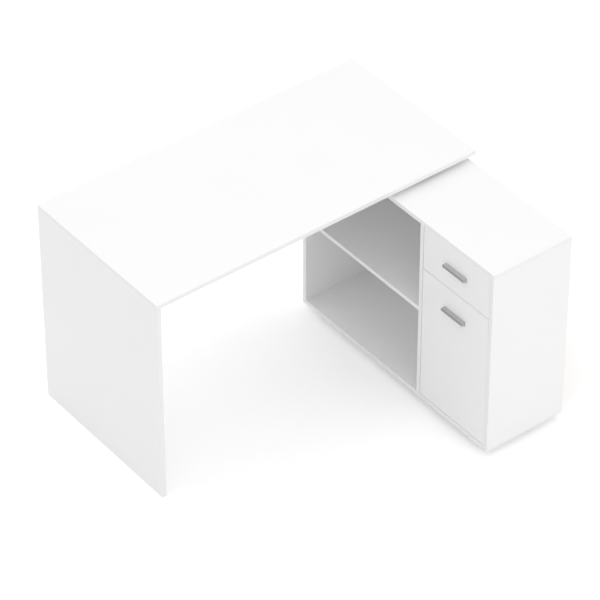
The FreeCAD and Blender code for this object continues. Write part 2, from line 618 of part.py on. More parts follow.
class Runner:
    """One side's roller runner: a rail on the cabinet, a rail under the drawer, and two rollers.

    Sections are drawn across Y and Z, with distances counted away from the panel that carries
    the rail. The near side counts towards +Y, and the far side towards -Y.
    """

    def __init__(self, side, panel_face, away):
        self.side = side
        self.panel_face = panel_face
        self.away = away
        self.make_cabinet_rail()
        self.make_drawer_rail()
        self.make_roller("front", "dims.front_roller_offset", FRONT_ROLLER_X, FRONT_ROLLER_Z)
        self.make_roller("rear", "dims.rear_roller_offset", REAR_ROLLER_X, REAR_ROLLER_Z)

    def sided(self, distance):
        """A signed sketch coordinate away from the panel."""
        return f"({distance})" if self.away > 0 else f"-({distance})"

    def section(self, body, label, outline):
        """Pad an outline of (distance, height) corners along the rail."""
        sketch = new_sketch(body, "YZ_Plane", label)
        add_polygon(sketch, [("0" if d == "0" else self.sided(d), z) for d, z in outline])
        return pad(body, sketch, "at.runner_length")

    def rivet(self, body, end, x, z, start, reach, outward):
        """A roller's pin and its head, standing on a rail's web."""
        towards_far = (self.away > 0) == outward
        for part, begin, radius, length in (
                ("pin", start, "dims.roller_pin_radius", reach),
                ("head", f"{start} {'+' if outward else '-'} ({reach})",
                 "dims.roller_rivet_radius", "dims.roller_rivet_head")):
            offset = f"-({begin})" if self.away > 0 else begin
            sketch = new_sketch(body, "XZ_Plane", f"{self.side}_{end}_{part}", offset)
            add_circle(sketch, x, z, radius)
            pad(body, sketch, length, reverse=towards_far)

    def make_cabinet_rail(self):
        body = new_body(f"{self.side}_cabinet_runner")
        steel = "dims.runner_steel"
        width = "dims.runner_channel_width"
        height = "dims.runner_channel_height"
        self.section(body, f"{self.side}_channel", [
            ("0", "0"), (width, "0"), (width, steel), (steel, steel),
            (steel, f"{height} - {steel}"), (width, f"{height} - {steel}"), (width, height),
            ("0", height)])
        # the top flange stops short of the front roller
        notch = new_sketch(body, "XY_Plane", f"{self.side}_notch", height)
        inside = self.sided(steel)
        edge = self.sided(width)
        add_polygon(notch, [("0", inside), ("dims.roller_notch", inside),
                            ("dims.roller_notch", edge), ("0", edge)])
        pocket(body, notch, steel)
        self.rivet(body, "front", "dims.roller_end", "at.front_roller_rise", steel,
                   "dims.front_roller_offset + dims.roller_width + dims.roller_play - "
                   "dims.runner_steel", True)
        place(body, "at.runner_front", self.panel_face, "at.runner_base")

    def make_drawer_rail(self):
        body = new_body(f"{self.side}_drawer_runner")
        steel = "dims.runner_steel"
        gap = "dims.runner_gap"
        top = "at.drawer_rail_top"
        seat = "at.drawer_rail_seat"
        self.section(body, f"{self.side}_rail", [
            (f"{gap} - dims.runner_flange_reach", f"{top} - {steel}"),
            (f"{gap} - {steel}", f"{top} - {steel}"),
            (f"{gap} - {steel}", "at.drawer_rail_low"),
            (f"{gap} + dims.runner_lip", "at.drawer_rail_low"),
            (f"{gap} + dims.runner_lip", seat),
            (gap, seat),
            (gap, top),
            (f"{gap} - dims.runner_flange_reach", top)])
        self.rivet(body, "rear", "at.runner_length - dims.roller_end", "at.rear_roller_rise",
                   f"{gap} - {steel}",
                   "dims.runner_gap - dims.runner_steel - dims.rear_roller_offset + "
                   "dims.roller_play", False)
        place(body, "at.runner_front", self.panel_face, "at.runner_base")

    def make_roller(self, end, offset, x, z):
        """Nylon roller, bored for its pin."""
        body = new_body(f"{self.side}_{end}_roller")
        sketch = new_sketch(body, "XZ_Plane", f"{self.side}_{end}_rim")
        add_circle(sketch, "0", "0", "dims.roller_radius")
        add_circle(sketch, "0", "0", "dims.roller_pin_radius + dims.roller_pin_play")
        pad(body, sketch, "dims.roller_width", reverse=self.away > 0)
        sign = "+" if self.away > 0 else "-"
        place(body, x, f"{self.panel_face} {sign} {offset}", z)


FRONT_ROLLER_X = "at.runner_front + dims.roller_end"
REAR_ROLLER_X = "at.runner_front + at.runner_length - dims.roller_end"
FRONT_ROLLER_Z = "at.runner_base + at.front_roller_rise"
REAR_ROLLER_Z = "at.runner_base + at.rear_roller_rise"
Runner("near", "at.door_bay_near", 1)
Runner("far", "at.door_bay_far", -1)
make_handle("drawer_handle", drawer_front, "at.drawer_handle_height")
make_handle("door_handle", door_panel, "at.door_handle_height")

# ---------------------------------------------------------------- groups of identical pieces
groups = {}


def stand(kind, point, rotation):
    """Ask for one copy of a master at a desk place."""
    groups.setdefault(kind, []).append((point, rotation))


def write_group(label, master):
    """Copies of one master, kept together as separate solids."""
    copies = []
    for i, (point, rotation) in enumerate(groups[label], start=1):
        copy = doc.addObject("App::Link", f"{label}_{i}")
        copy.LinkedObject = master
        copy.LinkPlacement = FreeCAD.Placement(Vector(0, 0, 0), rotation)
        for axis, formula in zip("xyz", point):
            copy.setExpression(f"LinkPlacement.Base.{axis}", formula)
        copies.append(copy)
    group = doc.addObject("Part::Compound", label)
    group.Label = label
    group.Links = copies
    return group


OUTWARD = {
    "left": Vector(-1, 0, 0), "right": Vector(1, 0, 0), "near": Vector(0, -1, 0),
    "far": Vector(0, 1, 0), "bottom": Vector(0, 0, -1), "top": Vector(0, 0, 1),
}
OPPOSITE = {"left": "right", "right": "left", "near": "far", "far": "near",
            "bottom": "top", "top": "bottom"}
UP = Vector(0, 0, 1)


def shifted(point, face, distance):
    """A desk place moved by a distance along a face's outward normal."""
    moved = list(point)
    normal = OUTWARD[face]
    for axis, part in enumerate((normal.x, normal.y, normal.z)):
        if part:
            moved[axis] = f"({point[axis]}) {'+' if part > 0 else '-'} ({distance})"
    return tuple(moved)


def cam_joint(bored, end_face, cam_face, points):
    """Cam locks sunk in a board's face, drawn up against the board that its end meets."""
    inward = OPPOSITE[end_face]
    centres = [shifted(shifted(p, inward, "dims.cam_setback"), cam_face, "at.half_board")
               for p in points]
    bored.drill(cam_face, centres, "dims.cam_radius + dims.cam_play",
                "dims.cam_height + dims.cam_floor_play")
    up = OUTWARD[cam_face]
    along = OUTWARD[inward]
    turn = Rotation(along, up.cross(along), up, "ZXY")
    for centre in centres:
        stand("cam_locks", centre, turn)


# ---------------------------------------------------------------- joints of the fixed boards
CABINET_JOINTS = [
    # bored board, the end that meets its neighbour, the face of its cams, y and z of the joint
    (near_end_panel, "top", "far", "at.cabinet_near + at.half_board", "at.bay_ceiling"),
    (far_end_panel, "top", "near", "at.open_bay_far + at.half_board", "at.bay_ceiling"),
    (divider_panel, "top", "near", "at.door_bay_far + at.half_board", "at.bay_ceiling"),
    (divider_panel, "bottom", "near", "at.door_bay_far + at.half_board", "at.bay_floor"),
    (cabinet_bottom, "near", "bottom", "at.door_bay_near",
     "dims.plinth_height + at.half_board"),
    (cabinet_bottom, "far", "bottom", "at.open_bay_far", "dims.plinth_height + at.half_board"),
]
for bored, end_face, cam_face, y, z in CABINET_JOINTS:
    cam_joint(bored, end_face, cam_face, [
        ("at.cabinet_front + dims.cam_margin", y, z),
        ("at.cabinet_back - dims.cam_margin", y, z)])

SIDE_JOINT_X = "at.desk_left + at.half_board"
cam_joint(left_side_panel, "top", "right", [
    (SIDE_JOINT_X, "at.desk_front + dims.cam_margin", "at.desk_underside"),
    (SIDE_JOINT_X, "at.desk_front + dims.desk_depth / 2", "at.desk_underside"),
    (SIDE_JOINT_X, "at.desk_back - dims.cam_margin", "at.desk_underside")])

MODESTY_Y = "at.cabinet_far + at.half_board"
cam_joint(modesty_panel, "left", "far", [
    ("at.side_inner", MODESTY_Y, "at.modesty_bottom + dims.cam_margin"),
    ("at.side_inner", MODESTY_Y, "at.desk_underside - 2 * dims.cam_margin")])
cam_joint(modesty_panel, "top", "far", [
    ("at.side_inner + dims.modesty_cam_margin", MODESTY_Y, "at.desk_underside"),
    ("at.cabinet_front - dims.modesty_cam_margin", MODESTY_Y, "at.desk_underside")])

# shelf pins: half in the panel, half under the shelf
PIN_Z = "at.shelf_underside - dims.shelf_pin_radius"
for panel, face, y in ((divider_panel, "far", "at.open_bay_near"),
                       (far_end_panel, "near", "at.open_bay_far")):
    points = [("at.cabinet_front + dims.shelf_pin_margin", y, PIN_Z),
              ("at.back_panel_face - dims.shelf_pin_margin", y, PIN_Z)]
    panel.drill(face, points, "dims.shelf_pin_radius + dims.shelf_pin_play",
                "dims.shelf_pin_in")
    for point in points:
        stand("shelf_pins", shifted(point, OPPOSITE[face], "dims.shelf_pin_in"),
              Rotation(UP, OUTWARD[face]))

# ---------------------------------------------------------------- door hinges
HINGE_Z = ["at.lower_hinge_height", "at.upper_hinge_height"]
CUP_Y = "at.front_near + dims.cup_setback"
PLATE_X = "at.front_rear + dims.hinge_plate_setback"
door_panel.drill("right", [("at.front_rear", CUP_Y, z) for z in HINGE_Z], "dims.cup_radius",
                 "dims.cup_depth")
for z in HINGE_Z:
    stand("hinge_cups", ("at.front_rear", CUP_Y, z), Rotation())
    stand("hinge_plates", (PLATE_X, "at.door_bay_near", z), Rotation())
    stand("hinge_arms", ("at.front_rear", "at.door_bay_near", z), Rotation())

masters = {
    "cam_locks": make_cam(),
    "shelf_pins": make_shelf_pin(),
    "hinge_cups": make_cup(),
    "hinge_plates": make_hinge_plate(),
    "hinge_arms": make_hinge_arm(),
}
for label, master in masters.items():
    write_group(label, master)
doc.recompute()

# ---------------------------------------------------------------- checks and export
for thing in doc.Objects:
    if "Invalid" in thing.State or "Error" in thing.State:
        raise RuntimeError(f"{thing.Label} failed: {thing.State}")

master_names = {master.Name for master in masters.values()}
pieces = [thing for thing in doc.Objects
          if thing.TypeId in ("PartDesign::Body", "Part::Compound")
          and thing.Name not in master_names]
for piece in pieces:
    shape = piece.Shape
    if shape.isNull() or not shape.isValid() or not shape.Solids:
        raise RuntimeError(f"{piece.Label} has no valid solid")
for piece in pieces:
    piece.Shape.exportStep(os.path.join("parts", f"{piece.Label}.step"))
print(f"{len(pieces)} pieces written")
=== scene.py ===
"""White corner desk: board finishes, metal fittings, screw heads and a white studio.

The desk's frame comes from the CAD model. +X is to the sitter's right, +Y is away from the sitter,
+Z is up, and lengths are in metres.
"""
import math

import bpy
import numpy as np
from mathutils import Euler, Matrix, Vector


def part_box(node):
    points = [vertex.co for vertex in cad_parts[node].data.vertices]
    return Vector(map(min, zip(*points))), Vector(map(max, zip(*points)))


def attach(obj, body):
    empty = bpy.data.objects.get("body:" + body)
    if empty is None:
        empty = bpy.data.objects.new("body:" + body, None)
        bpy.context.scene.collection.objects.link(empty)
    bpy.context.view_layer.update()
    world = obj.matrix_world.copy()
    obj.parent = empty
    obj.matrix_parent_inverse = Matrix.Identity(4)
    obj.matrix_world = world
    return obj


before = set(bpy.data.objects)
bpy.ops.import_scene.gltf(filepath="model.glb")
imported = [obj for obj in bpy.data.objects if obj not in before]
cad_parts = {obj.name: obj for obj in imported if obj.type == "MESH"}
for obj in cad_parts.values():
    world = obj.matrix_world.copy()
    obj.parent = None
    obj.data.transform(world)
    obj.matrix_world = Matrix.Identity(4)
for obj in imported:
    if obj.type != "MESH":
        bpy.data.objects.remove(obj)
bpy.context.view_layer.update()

bl_info = {
    "name": "Corner desk",
    "version": (1, 0, 0),
    "blender": (4, 5, 0),
    "location": "3D View > Sidebar > Desk",
    "description": "Finishes, screws and studio for a white corner desk",
    "category": "Object",
}

# thin axis of each board, and the sides whose edges show bare chipboard
BOARDS = {
    "desktop": ("Z", ()),
    "left_side_panel": ("X", ("-Z",)),
    "cabinet_top": ("Z", ()),
    "cabinet_bottom": ("Z", ()),
    "near_end_panel": ("Y", ()),
    "far_end_panel": ("Y", ()),
    "divider_panel": ("Y", ()),
    "shelf": ("Z", ()),
    "modesty_panel": ("Y", ()),
    "plinth_front": ("X", ("-Z", "+Z")),
    "plinth_back": ("X", ("-Z", "+Z")),
    "plinth_near_crosspiece": ("Y", ("-Z", "+Z")),
    "plinth_middle_crosspiece": ("Y", ("-Z", "+Z")),
    "plinth_far_crosspiece": ("Y", ("-Z", "+Z")),
    "left_riser": ("Z", ()),
    "right_riser": ("Z", ()),
    "drawer_front": ("X", ()),
    "door_panel": ("X", ()),
    "drawer_near_side": ("Y", ()),
    "drawer_far_side": ("Y", ()),
    "drawer_back": ("X", ()),
}
HARDBOARDS = {"back_panel": "+X", "drawer_bottom": "-Z"}
RUNNER_RAILS = ("near_cabinet_runner", "far_cabinet_runner", "near_drawer_runner",
                "far_drawer_runner")
ROLLERS = ("near_front_roller", "far_front_roller", "near_rear_roller", "far_rear_roller")
ZINC_NODES = ("hinge_cups", "hinge_arms", "hinge_plates", "shelf_pins")

# a face points along an axis when its normal's share of that axis is over this, or over the
# second number for a handle's front, which gets painted shade and takes in the round nose and the
# rim under the lip
FACING = 0.7
HANDLE_SHADE_FACING = 0.35
# most of a noise texture's values lie in this range
NOISE_LOW = 0.3
NOISE_HIGH = 0.7
# widths of marks in a finish, in metres
BOARD_CLOUDS = 0.22
HARDBOARD_CLOUDS = 0.25
CHIPS = 0.0021
FIBRES = 0.0016
PRESSED_SCREEN = 0.0012
METAL_MARKS = 0.0006
FLAKE = 0.0004
POWDER_PEEL = 0.0014
NYLON_FLOW = 0.003

# where the screws sit on their fittings, in metres
CABINET_RAIL_END = 0.045
RAIL_STEEL = 0.0012
HANDLE_HALF_SPACING = 0.032
DRAWER_RAIL_FRONT = 0.035
DRAWER_RAIL_REAR = 0.050
DRAWER_RAIL_LIP = 0.004
CUP_EAR_MIDDLE = 0.0095
CUP_EAR_HEIGHTS = (0.0057, 0.0543)
PLATE_STEEL = 0.003
PLATE_HEIGHTS = (0.008, 0.046)
ARM_THICKNESS = 0.009
ARM_HALF_WIDTH = 0.0075
ARM_FROM_REAR = (0.013, 0.031)
RISER_END = 0.04
MODESTY_SIDE = 0.04
MODESTY_FOOT = 0.05
MODESTY_HEAD = 0.08

# place, point it is turned to, width and height of each softbox
SOFTBOXES = {
    "front_top": ((-0.85, -1.75, 4.1), (0.0, 0.0, 0.4), 4.0, 4.0),
    "back_top": ((0.0, 2.0, 4.0), (0.0, 0.0, 0.4), 4.0, 4.0),
    "right_top": ((2.4, -0.4, 4.0), (0.0, 0.0, 0.4), 3.0, 3.0),
    "front_fill": ((1.5, -4.0, 1.4), (0.0, 0.0, 0.4), 2.0, 2.0),
    "backdrop": ((0.1, 2.0, 0.35), (0.1, 0.0, 0.2), 3.0, 0.6),
}
FLOOR_REACH = 14.0
SENSOR_WIDTH = 36.0
VIEW_REACH = 200.0
WHITE = (1.0, 1.0, 1.0, 1.0)


# ---------------------------------------------------------------- sizes and colours to change
def colour_property(name, description, default):
    return bpy.props.FloatVectorProperty(name=name, description=description, default=default,
                                         subtype="COLOR", size=3, min=0.0, max=1.0)


def power_property(name, description, default):
    return bpy.props.FloatProperty(name=name, description=description, default=default, min=0.0,
                                   unit="POWER")


class DeskBoardFinish(bpy.types.PropertyGroup):
    """Colours and surface of the melamine board, its edging and the hardboard."""

    face: colour_property("Face", "Melamine on the board's faces", (0.93, 0.93, 0.93))
    edging: colour_property("Edging", "Plastic edging round a board", (0.90, 0.90, 0.90))
    core: colour_property("Core", "Bare chipboard on hidden edges", (0.56, 0.44, 0.30))
    hardboard: colour_property("Hardboard", "Bare back of the hardboard", (0.36, 0.30, 0.235))
    roughness: bpy.props.FloatProperty(
        name="Roughness", description="Roughness of the melamine face", default=0.48,
        min=0.0, max=1.0, subtype="FACTOR")
    pearl: bpy.props.FloatProperty(
        name="Pearl", description="Width of the face's fine pebbled grain", default=0.0009,
        min=0.0001, unit="LENGTH")
    pearl_depth: bpy.props.FloatProperty(
        name="Pearl depth", description="Height of the pebbled grain", default=0.00003,
        min=0.0, unit="LENGTH")


class DeskMetalFinish(bpy.types.PropertyGroup):
    """Colours of the handles, rails, hinges, locks and screws."""

    handle: colour_property("Handle", "Satin silver lacquer on the cast handles",
                            (0.48, 0.48, 0.48))
    handle_roughness: bpy.props.FloatProperty(
        name="Handle roughness", description="Roughness of the satin lacquer", default=0.50,
        min=0.0, max=1.0, subtype="FACTOR")
    # painted shade: how much darker a handle's front face is coloured than the rest of it
    handle_front_shade: bpy.props.FloatProperty(
        name="Handle front", description="Tone of a handle's front face beside the rest of it",
        default=0.68, min=0.0, max=1.0, subtype="FACTOR")
    powder: colour_property("Powder coat", "White coat on the runner rails", (0.84, 0.84, 0.83))
    zinc: colour_property("Zinc", "Bright zinc plate on hinges and screws", (0.62, 0.63, 0.65))
    casting: colour_property("Casting", "Die-cast cam locks", (0.52, 0.52, 0.53))
    nylon: colour_property("Nylon", "Moulded runner rollers", (0.80, 0.79, 0.76))


class DeskFasteners(bpy.types.PropertyGroup):
    """Sizes of the screw heads."""

    head_radius: bpy.props.FloatProperty(
        name="Head radius", description="Radius of a panel screw's head", default=0.0034,
        min=0.001, unit="LENGTH")
    head_height: bpy.props.FloatProperty(
        name="Head height", description="How far a screw's domed head stands up",
        default=0.0018, min=0.0005, unit="LENGTH")
    slot_width: bpy.props.FloatProperty(
        name="Slot width", description="Width of an arm of the cross recess",
        default=0.0011, min=0.0002, unit="LENGTH")
    slot_depth: bpy.props.FloatProperty(
        name="Slot depth", description="Depth of the cross recess", default=0.0012,
        min=0.0002, unit="LENGTH")


class DeskStudio(bpy.types.PropertyGroup):
    """Light, floor and camera."""

    sky: bpy.props.FloatProperty(
        name="Sky", description="Strength of the even white light from all round",
        default=0.80, min=0.0)
    front_top: power_property("Front top", "Softbox high in front of the desk", 26.9)
    back_top: power_property("Back top", "Softbox high behind the desk", 21.8)
    right_top: power_property("Right top", "Softbox high to the right", 6.8)
    front_fill: power_property("Front fill", "Low fill in front of the cabinet's near end", 11.2)
    backdrop: power_property("Backdrop", "Low strip behind the desk", 3.8)
    floor: colour_property("Floor", "Pale studio floor", (0.95, 0.95, 0.95))
    floor_glow: bpy.props.FloatProperty(
        name="Floor glow", description="White that the camera sees on top of the floor's shade",
        default=0.212, min=0.0, max=1.0, subtype="FACTOR")
    far_glow: bpy.props.FloatProperty(
        name="Far glow", description="The same far from the desk, where the floor ends in white",
        default=0.27, min=0.0, max=1.0, subtype="FACTOR")
    glow_start: bpy.props.FloatProperty(
        name="Glow start", description="Distance from the desk where the glow starts to rise",
        default=2.0, min=0.0, unit="LENGTH")
    glow_end: bpy.props.FloatProperty(
        name="Glow end", description="Distance from the desk where the far glow is reached",
        default=6.0, min=0.0, unit="LENGTH")
    camera_place: bpy.props.FloatVectorProperty(
        name="Camera", description="Place of the camera", default=(-5.364, -6.8465, 7.667),
        subtype="TRANSLATION", unit="LENGTH", size=3)
    camera_bearing: bpy.props.FloatProperty(
        name="Bearing", description="Turn of the camera about the vertical",
        default=math.radians(-37.956), subtype="ANGLE", unit="ROTATION")
    camera_drop: bpy.props.FloatProperty(
        name="Drop", description="How far the camera looks down", default=math.radians(39.792),
        subtype="ANGLE", unit="ROTATION")
    lens: bpy.props.FloatProperty(
        name="Lens", description="Focal length on a 36 mm frame, in millimetres",
        default=224.75, min=1.0)


# ---------------------------------------------------------------- materials
class Shader:
    """A new material with one Principled shader, and short calls for its texture nodes."""

    def __init__(self, name, colour, roughness, metallic=0.0):
        self.material = bpy.data.materials.new(name)
        self.material.use_nodes = True
        self.nodes = self.material.node_tree.nodes
        self.links = self.material.node_tree.links
        self.shader = self.nodes["Principled BSDF"]
        self.set(self.shader, "Base Color", (*colour, 1.0))
        self.set(self.shader, "Roughness", roughness)
        self.set(self.shader, "Metallic", metallic)
        self.place = self.nodes.new("ShaderNodeTexCoord")

    @staticmethod
    def set(node, socket, value):
        """Give a socket a plain value."""
        node.inputs[socket].default_value = value

    def noise(self, width, detail=2.0):
        """Noise whose grains are about as wide as given, in metres."""
        node = self.nodes.new("ShaderNodeTexNoise")
        self.set(node, "Scale", 1.0 / width)
        self.set(node, "Detail", detail)
        self.links.new(self.place.outputs["Object"], node.inputs["Vector"])
        return node.outputs["Fac"]

    def spread(self, value, low, high):
        """A noise value carried to another range."""
        node = self.nodes.new("ShaderNodeMapRange")
        self.set(node, "From Min", NOISE_LOW)
        self.set(node, "From Max", NOISE_HIGH)
        self.set(node, "To Min", low)
        self.set(node, "To Max", high)
        self.links.new(value, node.inputs["Value"])
        return node.outputs["Result"]

    def mix(self, factor, first, second):
        """A colour between two others; each is a plain colour or a socket."""
        node = self.nodes.new("ShaderNodeMix")
        node.data_type = "RGBA"
        self.links.new(factor, node.inputs[0])
        for value, socket in ((first, node.inputs[6]), (second, node.inputs[7])):
            if isinstance(value, bpy.types.NodeSocket):
                self.links.new(value, socket)
            else:
                socket.default_value = (*value, 1.0)
        return node.outputs[2]

    def faces(self, side, limit=FACING):
        """1 where the surface faces along an axis: X, Y or Z both ways, or +X, -Z and so on."""
        split = self.nodes.new("ShaderNodeSeparateXYZ")
        self.links.new(self.place.outputs["Normal"], split.inputs[0])
        value = split.outputs[side[-1]]
        if side[0] == "-":
            value = self.math("MULTIPLY", value, -1.0)
        elif side[0] != "+":
            value = self.math("ABSOLUTE", value)
        return self.math("GREATER_THAN", value, limit)

    def math(self, operation, first, second=0.0):
        """One step of arithmetic; each value is a number or a socket."""
        node = self.nodes.new("ShaderNodeMath")
        node.operation = operation
        for i, value in enumerate((first, second)):
            if isinstance(value, bpy.types.NodeSocket):
                self.links.new(value, node.inputs[i])
            else:
                node.inputs[i].default_value = value
        return node.outputs[0]

    def bump(self, height, distance):
        """Raise the surface by up to a distance in metres, where the height value is 1."""
        node = self.nodes.new("ShaderNodeBump")
        self.set(node, "Distance", distance)
        self.set(node, "Strength", 1.0)
        self.links.new(height, node.inputs["Height"])
        self.links.new(node.outputs["Normal"], self.shader.inputs["Normal"])

    def drive(self, socket, value):
        """Let a node's output set one of the shader's sockets."""
        self.links.new(value, self.shader.inputs[socket])


def toned(colour, factor):
    """A colour made lighter or darker by a factor."""
    return tuple(min(1.0, c * factor) for c in colour)


def board_material(finish, thin_axis, bare_sides):
    """Melamine on the two faces, plastic edging round them, and chipboard on bare sides."""
    name = f"melamine_{thin_axis.lower()}" + ("_bare" if bare_sides else "")
    made = bpy.data.materials.get(name)
    if made:
        return made
    look = Shader(name, finish.face, finish.roughness)
    clouds = look.spread(look.noise(BOARD_CLOUDS), 0.0, 1.0)
    melamine = look.mix(clouds, finish.face, toned(finish.face, 0.992))
    colour = look.mix(look.faces(thin_axis), finish.edging, melamine)
    if bare_sides:
        chips = look.spread(look.noise(CHIPS, 4.0), 0.0, 1.0)
        core = look.mix(chips, toned(finish.core, 0.6), finish.core)
        for side in bare_sides:
            colour = look.mix(look.faces(side), colour, core)
    look.drive("Base Color", colour)
    grain = look.noise(finish.pearl, 3.0)
    look.drive("Roughness", look.spread(grain, finish.roughness - 0.03, finish.roughness + 0.03))
    look.bump(grain, finish.pearl_depth)
    return look.material


def hardboard_material(finish, bare_side):
    """Hardboard: white lacquer on one side and bare brown with a pressed screen on the other."""
    look = Shader(f"hardboard_{bare_side[-1].lower()}", finish.face, 0.55)
    fibres = look.spread(look.noise(FIBRES, 5.0), 0.0, 1.0)
    bare = look.mix(fibres, toned(finish.hardboard, 0.7), finish.hardboard)
    clouds = look.spread(look.noise(HARDBOARD_CLOUDS), 0.0, 1.0)
    lacquer = look.mix(clouds, finish.face, toned(finish.face, 0.988))
    look.drive("Base Color", look.mix(look.faces(bare_side), lacquer, bare))
    look.bump(look.noise(PRESSED_SCREEN, 3.0), finish.pearl_depth)
    return look.material


def satin_metal(name, colour, roughness):
    """Bare or plated metal with fine marks."""
    look = Shader(name, colour, roughness, metallic=1.0)
    marks = look.noise(METAL_MARKS, 4.0)
    look.drive("Roughness", look.spread(marks, roughness - 0.05, roughness + 0.06))
    look.bump(marks, 0.000012)
    return look.material


def silver_lacquer(colour, roughness, front_shade):
    """Silver lacquer on a casting: fine metal flake under a satin coat, and painted shade on its
    front.
    """
    look = Shader("silver_lacquer", colour, roughness, metallic=0.08)
    look.set(look.shader, "Specular IOR Level", 0.15)
    flake = look.noise(FLAKE, 3.0)
    glitter = look.spread(flake, 0.0, 1.0)
    dull = toned(colour, 0.94)
    glint = toned(colour, 1.06)
    body = look.mix(glitter, dull, glint)
    # painted shade: the lacquer is toned darker, by the front shade factor, on faces turned to -X
    front = look.mix(glitter, toned(dull, front_shade), toned(glint, front_shade))
    look.drive("Base Color", look.mix(look.faces("-X", HANDLE_SHADE_FACING), body, front))
    look.drive("Roughness", look.spread(flake, roughness - 0.04, roughness + 0.04))
    look.bump(flake, 0.000008)
    return look.material


def powder_coat(colour):
    """Baked powder on steel: a fine orange peel over a little sheen."""
    look = Shader("powder_coat", colour, 0.38)
    peel = look.noise(POWDER_PEEL, 1.0)
    look.bump(peel, 0.00002)
    look.drive("Roughness", look.spread(peel, 0.34, 0.42))
    return look.material


def nylon(colour):
    """Moulded nylon: slightly waxy, with faint flow marks."""
    look = Shader("nylon", colour, 0.42)
    look.set(look.shader, "Subsurface Weight", 0.15)
    look.set(look.shader, "Subsurface Scale", 0.002)
    flow = look.noise(NYLON_FLOW)
    look.drive("Roughness", look.spread(flow, 0.38, 0.48))
    look.bump(flow, 0.00001)
    return look.material


def dress(node, material):
    """Give a CAD node one material."""
    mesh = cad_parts[node].data
    mesh.materials.clear()
    mesh.materials.append(material)


# ---------------------------------------------------------------- surfaces
def add_surface(name, points, faces, material, body):
    """A mesh piece at the origin that rides on a body."""
    mesh = bpy.data.meshes.new(name)
    mesh.from_pydata(points, [], faces)
    mesh.materials.append(material)
    mesh.shade_smooth()
    piece = bpy.data.objects.new(name, mesh)
    bpy.context.scene.collection.objects.link(piece)
    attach(piece, body)


def screw_head(radius, height, slot_width, slot_depth, rings=16, spokes=64):
    """Domed head with a cross recess, on its own +Z, as points and faces.

    On a polar grid of r and a, the dome stands at z = height * (1 - (r / radius)^4) * 0.8 plus a
    straight rim of 0.2 * height. The recess takes slot_depth off wherever the smaller of |x| and
    |y| is under half the slot's width and the other is under 0.62 of the radius, with both limits
    eased over a fifth of the slot's width. A flat ring at z = 0 and two middle points close it.
    """
    rim = 0.2
    reach = 0.62 * radius
    innermost = 0.06
    r = np.linspace(innermost, 1.0, rings)[:, None] * radius
    a = np.linspace(0.0, 2.0 * np.pi, spokes, endpoint=False)[None, :]
    x = r * np.cos(a)
    y = r * np.sin(a)
    ease = slot_width / 5.0
    inner = np.minimum(np.abs(x), np.abs(y))
    outer = np.maximum(np.abs(x), np.abs(y))
    across = np.clip((slot_width / 2.0 - inner) / ease + 0.5, 0.0, 1.0)
    along = np.clip((reach - outer) / ease + 0.5, 0.0, 1.0)
    z = height * (rim + (1.0 - rim) * (1.0 - (r / radius) ** 4)) - slot_depth * across * along
    top = np.stack([x, y, z], axis=-1).reshape(-1, 3)
    foot = np.stack([x[-1], y[-1], np.zeros(spokes)], axis=-1)
    ends = np.array([[0.0, 0.0, height - slot_depth], [0.0, 0.0, 0.0]])
    points = np.concatenate([top, foot, ends])
    ring, spoke = np.meshgrid(np.arange(rings), np.arange(spokes), indexing="ij")
    following = (spoke + 1) % spokes
    quads = np.stack([ring * spokes + spoke, (ring + 1) * spokes + spoke,
                      (ring + 1) * spokes + following, ring * spokes + following], axis=-1)
    faces = quads.reshape(-1, 4).tolist()
    last = rings * spokes
    middle = last + spokes
    turn = np.arange(spokes)
    after = (turn + 1) % spokes
    faces += np.stack([np.full(spokes, middle), turn, after], axis=-1).tolist()
    faces += np.stack([last + after, last + turn, np.full(spokes, middle + 1)],
                      axis=-1).tolist()
    return points, faces


def set_on(points, places, outward):
    """Copies of a shape's points at each place, with its +Z turned to an outward direction."""
    z = np.array(outward, float)
    x = np.array([0.0, 1.0, 0.0]) if abs(z[1]) < 0.5 else np.array([0.0, 0.0, 1.0])
    y = np.cross(z, x)
    turned = points @ np.stack([x, y, z])
    return [turned + np.array(place, float) for place in places]


def add_screws(name, places, outward, body, scale, material, sizes):
    """One piece that holds like screws in a row or a square."""
    points, faces = screw_head(sizes.head_radius * scale, sizes.head_height * scale,
                               sizes.slot_width * scale, sizes.slot_depth * scale)
    copies = set_on(points, places, outward)
    shifted = [[i + k * len(points) for i in face] for k in range(len(copies)) for face in faces]
    add_surface(name, np.concatenate(copies), shifted, material, body)


# ---------------------------------------------------------------- rows of screws
# each gives the name, the places, the outward direction, the body and the scale of its rows
def cabinet_runner_screws():
    """Two through the web of each rail on the cabinet."""
    for side, outward in (("near", 1.0), ("far", -1.0)):
        low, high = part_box(f"{side}_cabinet_runner")
        web = low.y + RAIL_STEEL if outward > 0 else high.y - RAIL_STEEL
        middle = (low.z + high.z) / 2
        places = [(x, web, middle) for x in (low.x + CABINET_RAIL_END, high.x - CABINET_RAIL_END)]
        yield f"{side}_runner_screws", places, (0.0, outward, 0.0), "desk", 1.0


def handle_screws():
    """Two behind each handle, with their heads on the back of the front."""
    for body, front in (("drawer", "drawer_front"), ("door", "door_panel")):
        low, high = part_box(f"{body}_handle")
        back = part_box(front)[1].x
        middle = (low.y + high.y) / 2
        height = (low.z + high.z) / 2
        places = [(back, y, height)
                  for y in (middle - HANDLE_HALF_SPACING, middle + HANDLE_HALF_SPACING)]
        yield f"{body}_handle_screws", places, (1.0, 0.0, 0.0), body, 1.15


def drawer_runner_screws():
    """Two up through the lip of each rail under the drawer's sides."""
    for side in ("near", "far"):
        low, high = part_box(f"{side}_drawer_runner")
        lip = high.y - DRAWER_RAIL_LIP if side == "near" else low.y + DRAWER_RAIL_LIP
        places = [(x, lip, low.z) for x in (low.x + DRAWER_RAIL_FRONT, high.x - DRAWER_RAIL_REAR)]
        yield f"{side}_drawer_runner_screws", places, (0.0, 0.0, -1.0), "drawer", 0.8


